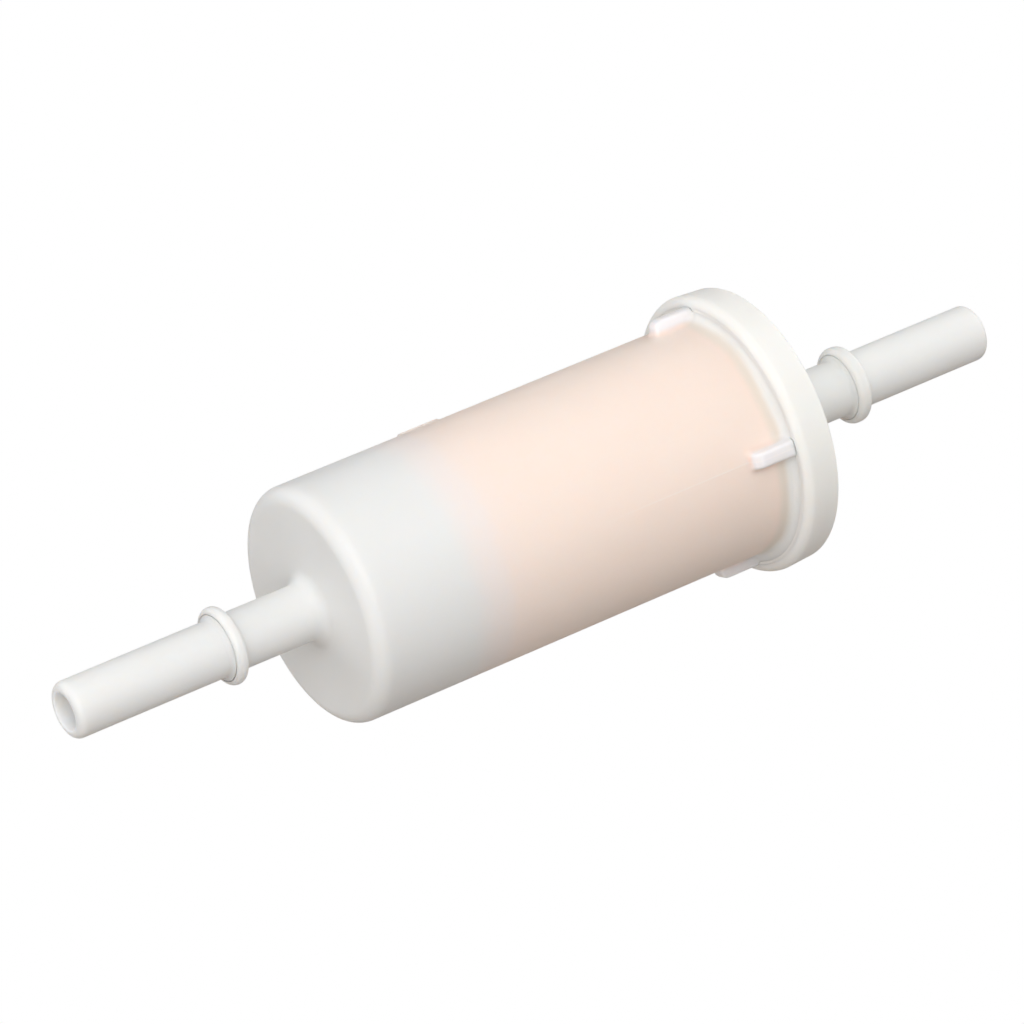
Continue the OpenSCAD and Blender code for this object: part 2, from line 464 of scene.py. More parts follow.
class Effects:
    """The effects that several materials share, each built once as a node group."""

    def __init__(self) -> None:
        """Builds the groups."""
        self.moulded = self.moulded_surface()
        self.handled = self.handling_marks()

    @staticmethod
    def moulded_surface() -> bpy.types.NodeTree:
        """The skin of a moulded part: a slow change of tone, a patchy gloss and a fine orange peel.

        Returns:
            The group.
        """
        graph = new_group("moulded_surface", "Peel Scale", 900.0, ("Tone", "Gloss", "Height"))
        inner = graph.add("NodeGroupInput").outputs
        place = graph.add("ShaderNodeTexCoord").outputs["Object"]
        along = graph.add("ShaderNodeVectorMath", place, (0.45, 1.0, 1.0), operation="MULTIPLY").outputs[0]
        peel = graph.noise(place, inner["Peel Scale"], 2.0, 0.45)
        fine = graph.noise(place, 5200.0, 1.0)
        height = graph.math("MULTIPLY_ADD", fine, 0.25, peel)
        graph.add("NodeGroupOutput", graph.noise(along, 70.0), graph.noise(along, 260.0, 3.0), height)
        return graph.tree

    @staticmethod
    def handling_marks() -> bpy.types.NodeTree:
        """Sparse hairline scuffs, mostly along the part, where it has rubbed against others.

        Returns:
            The group.
        """
        graph = new_group("handling_marks", "Amount", 0.5, ("Mask",))
        inner = graph.add("NodeGroupInput").outputs
        place = graph.add("ShaderNodeTexCoord").outputs["Object"]
        turned = graph.add("ShaderNodeMapping", place, None, (0.3, 0.5, 0.9), (1.0, 9.0, 9.0)).outputs[0]
        hair = graph.noise(turned, 520.0, 1.0)
        line = graph.step(graph.math("ABSOLUTE", graph.math("SUBTRACT", hair, 0.5)), 0.012, 0.0)
        where = graph.step(graph.noise(place, 120.0), 0.58, 0.72)
        mask = graph.math("MULTIPLY", line, where)
        graph.add("NodeGroupOutput", graph.math("MULTIPLY", mask, inner["Amount"]))
        return graph.tree


# ---- finishes


@dataclass(frozen=True)
class Nylon:
    """Translucent moulded nylon, and the other plastics that are moulded like it."""

    name: str
    colour: Colour
    shade: Colour
    roughness: float = 0.5
    depth: float = 1.3 * MM
    peel: float = 900.0
    marks: float = 0.5
    relief: float = 0.008 * MM

    def base(self, graph: Graph, tone: Socket) -> Socket:
        """The colour before any marks.

        Args:
            graph: The material's graph.
            tone: The slow change of tone, from 0 to 1.

        Returns:
            The colour socket.
        """
        return graph.blend(graph.step(tone, 0.35, 0.65), self.colour, self.shade)

    def material(self, effects: Effects) -> Material:
        """Builds the material.

        Args:
            effects: The shared node groups.

        Returns:
            The material.
        """
        material, graph = new_material(self.name)
        skin = graph.add("ShaderNodeGroup", node_tree=effects.moulded)
        graph.plug(self.peel, skin.inputs["Peel Scale"])
        marks = graph.add("ShaderNodeGroup", node_tree=effects.handled)
        graph.plug(self.marks, marks.inputs["Amount"])
        colour = self.base(graph, skin.outputs["Tone"])
        gloss = graph.step(skin.outputs["Gloss"], 0.3, 0.7, self.roughness - 0.04, self.roughness + 0.05)
        rough = graph.math("MULTIPLY_ADD", marks.outputs["Mask"], 0.2, gloss)
        low = graph.math("MULTIPLY", marks.outputs["Mask"], -0.6)
        height = graph.math("ADD", skin.outputs["Height"], low)
        bump = graph.add("ShaderNodeBump", named={"Strength": 1.0, "Distance": self.relief, "Height": height})
        named = {
            "Base Color": colour,
            "Roughness": rough,
            "IOR": 1.53,
            "Normal": bump.outputs[0],
            "Subsurface Weight": 1.0 if self.depth else 0.0,
            "Subsurface Radius": (1.0, 0.9, 0.8),
            "Subsurface Scale": self.depth,
        }
        shader = graph.add("ShaderNodeBsdfPrincipled", named=named, subsurface_method="RANDOM_WALK")
        graph.add("ShaderNodeOutputMaterial", shader.outputs[0])
        return material


@dataclass(frozen=True)
class GradedNylon(Nylon):
    """Nylon whose colour changes along the axis, because of what lies behind it or how thick it is, and on
    the barrel also a band of painted shade in the corner at the flange.
    """

    start: float = 0.0
    stops: tuple[tuple[float, Colour], ...] = ()
    reach: float = 70.0 * MM

    def along(self, graph: Graph, place: Socket, x: Socket) -> Socket:
        """The colour along the axis, with boundaries that wander a little.

        Args:
            graph: The material's graph.
            place: The point's place.
            x: Its place along the axis.

        Returns:
            The colour socket.
        """
        drift = graph.math("MULTIPLY_ADD", graph.noise(place, 90.0, 1.0), 1.6 * MM, -0.8 * MM)
        drifted = graph.math("ADD", x, drift)
        share = graph.math("MULTIPLY_ADD", drifted, 1 / self.reach, -self.start / self.reach)
        stops = [((at - self.start) / self.reach, colour) for at, colour in self.stops]
        return graph.ramp(share, [(0.0, self.colour), *stops])

    def base(self, graph: Graph, tone: Socket) -> Socket:
        """The colour along the axis, with the slow change of tone.

        Args:
            graph: The material's graph.
            tone: The slow change of tone, from 0 to 1.

        Returns:
            The colour socket.
        """
        place = graph.add("ShaderNodeTexCoord").outputs["Object"]
        x = graph.add("ShaderNodeSeparateXYZ", place).outputs[0]
        return self.toned(graph, self.along(graph, place, x), tone)

    def toned(self, graph: Graph, colour: Socket, tone: Socket) -> Socket:
        """The colour with the slow change of tone laid over it."""
        cast = graph.blend(graph.step(tone, 0.3, 0.7), (1.0, 1.0, 1.0), self.shade)
        return graph.blend(1.0, colour, cast, "MULTIPLY")


@dataclass(frozen=True)
class BarrelNylon(GradedNylon):
    """Nylon through which the paper element shows, with bare nylon on what stands proud of the barrel."""

    bare: Colour = (0.85, 0.835, 0.85)
    barrel_r: float = 15.9 * MM
    bore_r: float = 2.5 * MM
    parting_turn: float = math.radians(63.0)
    parting_from: float = -2.0 * MM

    def base(self, graph: Graph, tone: Socket) -> Socket:
        """The colour along the barrel, and the bare nylon of what stands proud of it.

        Args:
            graph: The material's graph.
            tone: The slow change of tone, from 0 to 1.

        Returns:
            The colour socket.
        """
        place = graph.add("ShaderNodeTexCoord").outputs["Object"]
        x, y, z = graph.add("ShaderNodeSeparateXYZ", place).outputs
        radius = graph.math("SQRT", graph.math("MULTIPLY_ADD", y, y, graph.math("MULTIPLY", z, z)))
        proud = graph.step(radius, self.barrel_r + 0.1 * MM, self.barrel_r + 0.9 * MM, 0.0, 0.95)
        proud = graph.math("MULTIPLY", proud, graph.step(x, 29.4 * MM, 28.3 * MM))
        colour = graph.blend(proud, self.along(graph, place, x), self.bare)
        # Painted highlight: a lighter thin line along the parting lines, fading out towards the barrel's
        # closed end. The fine ridge under it is real geometry.
        upward = graph.math("MULTIPLY", z, math.sin(self.parting_turn))
        across = graph.math("MULTIPLY_ADD", y, math.cos(self.parting_turn), upward)
        line = graph.step(graph.math("ABSOLUTE", across), 0.16 * MM, 0.0)
        highlight_fade = graph.step(x, self.parting_from, self.parting_from + 14 * MM, 0.0, 0.3)
        line = graph.math("MULTIPLY", line, highlight_fade)
        colour = graph.blend(line, colour, (0.97, 0.9, 0.86))
        # Painted light: the bore is lightened towards white, standing in for the light that reaches into it
        # through the translucent walls.
        bore = graph.step(radius, self.bore_r + 0.5 * MM, self.bore_r + 0.1 * MM)
        return self.toned(graph, graph.blend(bore, colour, (0.97, 0.97, 0.96)), tone)


@dataclass(frozen=True)
class Paper:
    """Resin-treated filter paper with fibres and a pressed dimple pattern."""

    name: str = "filter_paper_finish"
    colour: Colour = (0.80, 0.52, 0.36)
    shade: Colour = (0.70, 0.42, 0.28)

    def material(self, effects: Effects) -> Material:
        """Builds the material.

        Args:
            effects: The shared node groups.

        Returns:
            The material.
        """
        material, graph = new_material(self.name)
        place = graph.add("ShaderNodeTexCoord").outputs["Object"]
        skin = graph.add("ShaderNodeGroup", node_tree=effects.moulded)
        fibres = [
            graph.noise(graph.add("ShaderNodeMapping", place, None, turn, scale).outputs[0], 900.0, 3.0, 0.6)
            for turn, scale in (((0.2, 0.5, 0.1), (0.35, 2.0, 2.0)), ((0.4, 0.2, 0.9), (1.6, 0.5, 1.2)))
        ]
        fibre = graph.math("MULTIPLY", graph.math("ADD", *fibres), 0.5)
        colour = graph.blend(graph.step(fibre, 0.38, 0.62), self.shade, self.colour)
        dimple = graph.add("ShaderNodeTexVoronoi", named={"Vector": place, "Scale": 700.0}).outputs[0]
        height = graph.math("MULTIPLY_ADD", graph.step(dimple, 0.1, 0.5), 0.6, fibre)
        bump = graph.add("ShaderNodeBump", named={"Strength": 1.0, "Distance": 0.04 * MM, "Height": height})
        rough = graph.step(skin.outputs["Gloss"], 0.3, 0.7, 0.82, 0.95)
        named = {"Base Color": colour, "Roughness": rough, "Specular IOR Level": 0.25}
        named["Normal"] = bump.outputs[0]
        graph.add("ShaderNodeOutputMaterial", graph.add("ShaderNodeBsdfPrincipled", named=named).outputs[0])
        return material


@dataclass
class Wardrobe:
    """All the finished materials, one for each of the record's slots."""

    materials: dict[Slot, Material] = field(default_factory=dict)

    def fill(self) -> None:
        """Builds each material."""
        effects = Effects()
        ivory, milky, peach = (0.88, 0.87, 0.84), (0.80, 0.80, 0.79), (0.95, 0.777, 0.697)
        barrel = (
            (-15.7 * MM, (0.862, 0.785, 0.75)),
            (-12.8 * MM, (0.904, 0.777, 0.71)),
            (-10.0 * MM, (0.922, 0.777, 0.70)),
            (-1.4 * MM, peach),
            (26.6 * MM, peach),
            # Painted shade: a darker tan band in the corner where the barrel meets the flange.
            (28.1 * MM, (0.81, 0.73, 0.65)),
            (29.1 * MM, ivory),
        )
        lid = ((37.5 * MM, (0.83, 0.83, 0.82)),)
        finishes = {
            Slot.BARREL: BarrelNylon(
                "barrel_nylon_finish", milky, (0.985, 0.985, 0.98), start=-21.0 * MM, stops=barrel
            ),
            Slot.LID: GradedNylon(
                "lid_nylon_finish", ivory, (0.985, 0.985, 0.975), 0.55, 0.8 * MM, start=34.2 * MM, stops=lid
            ),
            Slot.WELD: Nylon("weld_nylon_finish", (0.86, 0.85, 0.82), (0.83, 0.82, 0.79), 0.5, 0.0, 2200.0),
            Slot.DISC: Nylon("disc_plastic_finish", (0.80, 0.78, 0.82), (0.77, 0.76, 0.79), 0.45),
            Slot.PAPER: Paper(),
            Slot.ADHESIVE: Nylon(
                "adhesive_finish", (0.78, 0.66, 0.42), (0.72, 0.58, 0.34), 0.25, peel=300.0, marks=0.0
            ),
            Slot.CLIP: Nylon("clip_plastic_finish", (0.78, 0.78, 0.76), (0.74, 0.74, 0.72), 0.4),
            Slot.RUBBER: Nylon("seal_rubber_finish", (0.03, 0.03, 0.032), (0.045,) * 3, 0.55, 0.0, 3000.0),
        }
        self.materials = {slot: finish.material(effects) for slot, finish in finishes.items()}

    def skin(self, name: str, rings: Array, slot: Slot) -> Piece:
        """Makes a skin and gives it the finish of its slot.

        Args:
            name: The piece's name.
            rings: Points as rows by columns by three.
            slot: The material slot.

        Returns:
            The piece.
        """
        piece = ring_piece(name, rings)
        piece.data.materials.append(self.materials[slot])
        return piece

    def dress_solid(self, node: str, slot: Slot) -> None:
        """Gives a solid of the frame its finish."""
        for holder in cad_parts[node].material_slots:
            holder.material = self.materials[slot]


# ---- the filter's pieces


@dataclass
class TubeEnd:
    """The beaded tube with a rounded tip that a fuel hose is pushed on."""

    radius: float = 3.8 * MM
    bore: float = 2.5 * MM
    tip_round: float = 1.05 * MM
    mouth_round: float = 0.2 * MM
    root_round: float = 1.0 * MM
    bead_round: float = 0.8 * MM
    bead_fillet: float = 0.7 * MM

    def draw_bead(self, outline: Outline, middle: float, radius: float, width: float) -> None:
        """Draws the tube up to a bead and on over it, towards +X.

        Args:
            outline: The outline that is drawn on.
            middle: The place of the bead's middle.
            radius: The bead's radius.
            width: The bead's width.
        """
        fillet, edge, half = self.bead_fillet, self.bead_round, width / 2
        outline.to(middle - half - fillet - 0.2 * MM, self.radius, 8)
        outline.corner(middle - half, self.radius, fillet, 270, 360, 6)
        outline.corner(middle - half, radius, edge, 180, 90, 10)
        outline.corner(middle + half, radius, edge, 90, 0, 10)
        outline.corner(middle + half, self.radius, fillet, 180, 270, 6)


@dataclass
class Housing:
    """The barrel, in one with its tube, its weld flange, the lugs that brace it and the flow arrow."""

    tube: TubeEnd = field(default_factory=lambda: TubeEnd(root_round=1.8 * MM))
    tube_len: float = 36.0 * MM
    bead_at: float = 23.1 * MM
    bead_r: float = 5.2 * MM
    bead_width: float = 1.7 * MM
    barrel_r: float = 15.9 * MM
    barrel_wall: float = 1.6 * MM
    end_wall: float = 1.8 * MM
    shoulder: float = 2.1 * MM
    flange_thick: float = 2.1 * MM
    flange_r: float = 17.3 * MM
    flange_round: float = 0.06 * MM
    flange_fillet: float = 1.9 * MM
    lug_turns: tuple[float, ...] = (-27.0, 63.0, 153.0, 243.0)
    lug_len: float = 5.9 * MM
    lug_width: float = 2.1 * MM
    lug_top: float = 17.8 * MM
    lug_end: float = 1.2 * MM
    lug_edge: float = 0.45 * MM
    lug_fillet: float = 0.9 * MM
    lug_back: float = 0.09 * MM
    arrow_turn: float = -43.0
    arrow_tip: float = -7.3 * MM
    arrow_len: float = 6.2 * MM
    arrow_width: float = 3.4 * MM
    arrow_height: float = 0.24 * MM
    parting_turns: tuple[float, ...] = (63.0, 243.0)
    parting_height: float = 0.02 * MM
    parting_width: float = 0.09 * MM
    parting_from: float = -2.0 * MM

    def __post_init__(self) -> None:
        """Reads the places that the frame gives."""
        self.tip_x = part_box("housing")[0].x
        self.land_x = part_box("weld_bead")[1].x
        self.face_x = self.tip_x + self.tube_len
        self.flange_x = self.land_x - self.flange_thick
        self.lug_x = self.flange_x - self.lug_len
        self.lug_stop = self.flange_x - self.lug_back

    def turns(self) -> Array:
        """Columns about the axis, close together at the lugs, the arrow and the parting lines.

        Returns:
            The turn of each column.
        """
        spots = [(turn, 6.0, 0.33) for turn in self.lug_turns] + [(self.arrow_turn, 7.0, 0.55)]
        spots = [(turn + wrap, half, step) for turn, half, step in spots for wrap in (-360, 0, 360)]
        return np.radians(graded(-180, 180, 1.6, spots)[:-1])

    def barrel_rows(self) -> Array:
        """Rows along the barrel, close together at the arrow, the lugs and the flange.

        Returns:
            The place of each row.
        """
        arrow_x = self.arrow_tip - self.arrow_len / 2
        spots = [
            (self.face_x + self.shoulder, 0.0, 0.15 * MM),
            (arrow_x, self.arrow_len / 2 + 0.2 * MM, 0.15 * MM),
            (self.lug_x + 0.25 * MM, 0.9 * MM, 0.09 * MM),
            (self.flange_x, 0.2 * MM, 0.08 * MM),
        ]
        return graded(self.face_x + self.shoulder, self.flange_x - 0.02 * MM, 1.2 * MM, spots)

    def outside(self) -> Outline:
        """The outline from the inlet tube's mouth to the outer edge of the flange.

        Returns:
            The outline.
        """
        tube, tip, face = self.tube, self.tip_x, self.face_x
        outline = Outline()
        outline.corner(tip, tube.bore, tube.mouth_round, 270, 180, 4)
        outline.corner(tip, tube.radius, tube.tip_round, 180, 90, 12)
        tube.draw_bead(outline, tip + self.bead_at, self.bead_r, self.bead_width)
        outline.to(face - tube.root_round - 0.3 * MM, tube.radius, 5)
        outline.corner(face, tube.radius, tube.root_round, 270, 360, 10)
        outline.to(face, self.barrel_r - self.shoulder - 0.2 * MM, 8)
        outline.corner(face, self.barrel_r, self.shoulder, 180, 90, 12)
        for place in self.barrel_rows():
            outline.to(float(place), self.barrel_r)
        outline.to(self.flange_x, self.barrel_r + 0.1 * MM)
        outline.to(self.flange_x, self.flange_r - self.flange_round, 12)
        outline.corner(self.flange_x, self.flange_r, self.flange_round, 180, 90, 4)
        outline.to(self.land_x - self.flange_round, self.flange_r, 6)
        return outline

    def inside(self) -> Outline:
        """The outline from the flange's land to the bore of the tube.

        Returns:
            The outline.
        """
        hollow_r = self.barrel_r - self.barrel_wall
        floor_x = self.face_x + self.end_wall
        corner = 0.8 * MM
        outline = Outline()
        outline.corner(self.land_x, self.flange_r, self.flange_round, 60, 0, 2)
        outline.to(self.land_x, hollow_r + 0.1 * MM, 4)
        outline.corner(self.land_x, hollow_r, 0.15 * MM, 0, -90, 3)
        outline.to(floor_x + corner, hollow_r, 24)
        outline.corner(floor_x, hollow_r, corner, 90, 180, 6)
        outline.to(floor_x, self.tube.bore + 0.3 * MM, 4)
        outline.corner(floor_x, self.tube.bore, 0.3 * MM, 0, -90, 4)
        outline.to(self.tip_x + self.tube.mouth_round + 0.2 * MM, self.tube.bore, 14)
        return outline

    def ridge(self, x: Array, turn: Array, radius: Array) -> Array:
        """Height of the parting line's fine ridge, which fades out towards the barrel's closed end.

        Args:
            x: Places along the axis.
            turn: Turns about the axis.
            radius: Distances from the axis.

        Returns:
            The height at each point.
        """
        height = np.zeros(np.broadcast(turn, radius).shape)
        for parting in np.radians(self.parting_turns):
            off = np.angle(np.exp(1j * (turn - parting))) * radius
            height = height + self.parting_height * np.exp(-((off / self.parting_width) ** 2))
        return height * smooth_step(x, self.parting_from, self.parting_from + 12 * MM)

    def lug_distance(self, points: Array, lug_turn: float) -> Array:
        """Distance outside one lug.

        Args:
            points: Where to measure.
            lug_turn: The lug's turn about the axis, in degrees.

        Returns:
            The distance at each point.
        """
        sine, cosine = math.sin(math.radians(lug_turn)), math.cos(math.radians(lug_turn))
        up = -points[..., 1] * sine + points[..., 2] * cosine
        across = points[..., 1] * cosine + points[..., 2] * sine
        draft = 0.03 * (self.lug_top - up)
        side = np.abs(across) - self.lug_width / 2 - draft + self.lug_edge
        end = self.lug_x + self.lug_edge - draft - points[..., 0]
        profile = round_corner(end, up - self.lug_top + self.lug_edge, self.lug_end - self.lug_edge)
        lug = np.hypot(np.maximum(profile, 0), np.maximum(side, 0)) + np.minimum(np.maximum(profile, side), 0)
        return np.maximum(lug - self.lug_edge, 0.7 * self.barrel_r - up)

    def skin_distance(self, points: Array) -> Array:
        """Distance outside the barrel with its flange and lugs, which end at their backs above the flange.

        Args:
            points: Where to measure.

        Returns:
            The distance at each point.
        """
        radius = np.hypot(points[..., 1], points[..., 2])
        turn = np.arctan2(-points[..., 1], points[..., 2])
        barrel = radius - self.barrel_r - self.ridge(points[..., 0], turn, radius)
        flange = round_corner(self.flange_x - points[..., 0], radius - self.flange_r, self.flange_round)
        lugs = np.min([self.lug_distance(points, turn) for turn in self.lug_turns], axis=0)
        body = soft_join(soft_join(barrel, flange, self.flange_fillet), lugs, self.lug_fillet)
        behind = np.minimum(points[..., 0] - self.lug_stop, radius - self.flange_r - 0.02 * MM)
        return np.maximum(body, behind)

    def raise_lugs(self, rings: Array, turns: Array, first: int, last: int) -> None:
        """Lifts the rows near the flange over the lugs and lays them on the filleted skin.

        Args:
            rings: All the points, changed in place.
            turns: The turn of each column.
            first: The first row that takes part.
            last: The row after the last.
        """
        for lug_turn in np.radians(self.lug_turns):
            off = np.angle(np.exp(1j * (turns - lug_turn)))
            columns = np.argsort(off)
            columns = columns[np.abs(off[columns]) < math.radians(12.5)]
            patch = rings[first:last][:, columns]
            radius = np.hypot(patch[..., 1], patch[..., 2])
            side = np.abs(off[columns])[None, :] * self.barrel_r
            wall = 0.25 * MM
            up = 1 - smooth_step(side, self.lug_width / 2 - wall, self.lug_width / 2 + wall)
            up = np.minimum(up, smooth_step(patch[..., 0], self.lug_x - wall, self.lug_x + 2 * wall))
            share = np.clip((radius - self.barrel_r) / (self.flange_r - self.barrel_r), 0, 1)
            top = self.lug_top - share * (self.lug_top - self.flange_r)
            lifted = np.maximum(radius, self.barrel_r + up * (top - self.barrel_r))
            pulled = patch[..., 0] - up * (1 - share) * np.maximum(patch[..., 0] - self.lug_stop, 0)
            patch = around(pulled, lifted, turns[columns][None, :])
            x = rings[first:last, columns, 0]
            free = 1 - smooth_step(side, 2.4 * MM, 3.2 * MM)
            free = free * smooth_step(x, self.lug_x - 1.6 * MM, self.lug_x - 0.8 * MM)
            free = free * (1 - smooth_step(x, self.flange_x, self.flange_x + 0.4 * MM))
            rings[first:last, columns] = relaxed(patch, free, self.skin_distance, 70)
        rings[first:last] = onto_skin(rings[first:last], self.skin_distance)

    def raise_marks(self, rings: Array, turns: Array, last: int) -> None:
        """Adds the flow arrow and the parting lines to the outside.

        Args:
            rings: All the points, changed in place.
            turns: The turn of each column.
            last: The row after the last one outside that has no lug beside it.
        """
        x = rings[:last, :, 0]
        radius = np.hypot(rings[:last, :, 1], rings[:last, :, 2])
        height = self.ridge(x, turns[None, :], radius)
        tip, half = self.arrow_tip, self.arrow_width / 2
        neck, tail = tip - self.arrow_len / 2, tip - self.arrow_len
        corners = [(tip, 0.0), (neck, half), (neck, half / 2), (tail, half / 2)]
        corners += [(px, -py) for px, py in reversed(corners[1:])]
        off = np.angle(np.exp(1j * (turns - math.radians(self.arrow_turn))))[None, :] * self.barrel_r
        arrow = smooth_step(inside_polygon(x, off + 0 * x, corners), -0.02 * MM, 0.2 * MM)
        height = height + self.arrow_height * arrow * (radius > 0.99 * self.barrel_r)
        rings[:last] = around(x, radius + height, turns[None, :])

    def build(self, wardrobe: Wardrobe) -> Piece:
        """Makes the housing's skin and dresses it.

        Args:
            wardrobe: The finishes.

        Returns:
            The piece.
        """
        turns = self.turns()
        outside = self.outside()
        rings = Outline(outside.points + self.inside().points).rings(turns)
        row_x, row_r = np.array(outside.points).T
        first = int(np.argmax((row_x > self.lug_x - 1.8 * MM) & (row_r > 0.99 * self.barrel_r)))
        self.raise_marks(rings, turns, first)
        self.raise_lugs(rings, turns, first, len(row_x) - 1)
        piece = wardrobe.skin("housing_shell", rings, Slot.BARREL)
        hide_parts("housing")
        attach(piece, "root")
        return piece


@dataclass
class Lid:
    """The lid, in one with the outlet tube and the nozzle that carries the element."""

    tube: TubeEnd = field(default_factory=TubeEnd)
    tube_len: float = 35.9 * MM
    bead_at: float = 21.2 * MM
    bead_r: float = 5.25 * MM
    bead_width: float = 2.0 * MM
    taper: float = 0.24 * MM
    length: float = 5.2 * MM
    wall: float = 3.0 * MM
    skirt_r: float = 17.65 * MM
    rim_round: float = 1.2 * MM
    edge_round: float = 0.5 * MM
    nozzle_r: float = 4.95 * MM
    lip_len: float = 0.7 * MM
    lip_height: float = 0.35 * MM
    groove_r: float = 3.75 * MM
    groove_width: float = 1.8 * MM
    stop_r: float = 6.4 * MM
    stop_len: float = 1.7 * MM

    def outline(self) -> Outline:
        """The whole outline, round the skirt, the outlet tube and back along the bore.

        Returns:
            The outline.
        """
        nozzle_x, tip = (corner.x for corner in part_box("end_cap"))
        tube, far = self.tube, tip - self.tube_len
        land, rim = far - self.wall, far - self.length
        stop = land - self.stop_len
        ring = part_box("outlet_seal_ring")
        groove = (ring[0].x + ring[1].x) / 2 - self.groove_width / 2
        small = 0.15 * MM
        rim_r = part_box("end_cap")[1].z
        far_r = rim_r - self.taper
        outline = Outline()
        outline.to(nozzle_x, tube.bore + small)
        outline.to(nozzle_x, self.nozzle_r - self.lip_height, 2)
        outline.to(nozzle_x + self.lip_len, self.nozzle_r + self.lip_height, 4)
        outline.to(nozzle_x + self.lip_len, self.nozzle_r)
        outline.to(groove, self.nozzle_r, 4)
        outline.to(groove, self.groove_r, 2)
        outline.to(groove + self.groove_width, self.groove_r, 3)
        outline.to(groove + self.groove_width, self.nozzle_r, 2)
        outline.to(stop, self.nozzle_r, 2)
        outline.corner(stop, self.stop_r, small, 180, 90, 3)
        outline.to(land - 0.4 * MM, self.stop_r, 2)
        outline.corner(land, self.stop_r, 0.4 * MM, 270, 360, 4)
        outline.to(land, self.skirt_r - small, 8)
        outline.to(land, self.skirt_r)
        outline.to(rim + small, self.skirt_r, 4)
        outline.corner(rim, self.skirt_r, small / 3, 270, 180, 3)
        outline.corner(rim, rim_r, self.rim_round, 180, 92, 12)
        outline.to(far - self.edge_round - 0.1 * MM, far_r, 10)
        outline.corner(far, far_r, self.edge_round, 87, 0, 8)
        outline.to(far, tube.radius + tube.root_round + 0.2 * MM, 10)
        outline.corner(far, tube.radius, tube.root_round, 180, 270, 10)
        tube.draw_bead(outline, tip - self.bead_at, self.bead_r, self.bead_width)
        outline.to(tip - tube.tip_round - 0.2 * MM, tube.radius, 8)
        outline.corner(tip, tube.radius, tube.tip_round, 90, 0, 12)
        outline.corner(tip, tube.bore, tube.mouth_round, 0, -90, 4)
        outline.to(nozzle_x + small, tube.bore, 14)
        return outline

    def build(self, wardrobe: Wardrobe) -> Piece:
        """Makes the lid's skin and dresses it.

        Args:
            wardrobe: The finishes.

        Returns:
            The piece.
        """
        turns = np.radians(graded(-180, 180, 1.5, [])[:-1])
        piece = wardrobe.skin("lid_shell", self.outline().rings(turns), Slot.LID)
        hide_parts("end_cap")
        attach(piece, "root")
        return piece


@dataclass
class WeldBead:
    """The welded seam between the flange and the lid, with the round bead that is squeezed out."""

    flange_r: float = 17.3 * MM
    skirt_r: float = 17.65 * MM
    depth: float = 0.01 * MM
    wave: float = 0.3
    lobes: tuple[int, ...] = (7, 19, 43)

    def build(self, wardrobe: Wardrobe) -> Piece:
        """Makes the seam, whose bead swells and thins a little round the rim.

        Args:
            wardrobe: The finishes.

        Returns:
            The piece.
        """
        low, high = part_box("weld_bead")
        bead = (self.skirt_r - self.flange_r) / 2
        start = low.x + self.depth
        turns = np.radians(graded(-180, 180, 1.0, [])[:-1])
        waves = [0.5 + 0.5 * np.cos(lobe * turns + 1.7 * lobe) for lobe in self.lobes]
        swell = self.depth * (1 - self.wave * sum(waves) / len(waves))
        middle = self.flange_r + bead
        angles = np.radians(np.linspace(270, 90, 11))
        rows = [around(start + swell * math.cos(a), middle + bead * math.sin(a), turns) for a in angles]
        rows += [around(x, self.skirt_r, turns) for x in (start + 0.5 * MM, high.x)]
        rows += [around(x, self.flange_r, turns) for x in (high.x, start + 0.5 * MM)]
        piece = wardrobe.skin("weld_seam", np.array(rows), Slot.WELD)
        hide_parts("weld_bead")
        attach(piece, "root")
        return piece


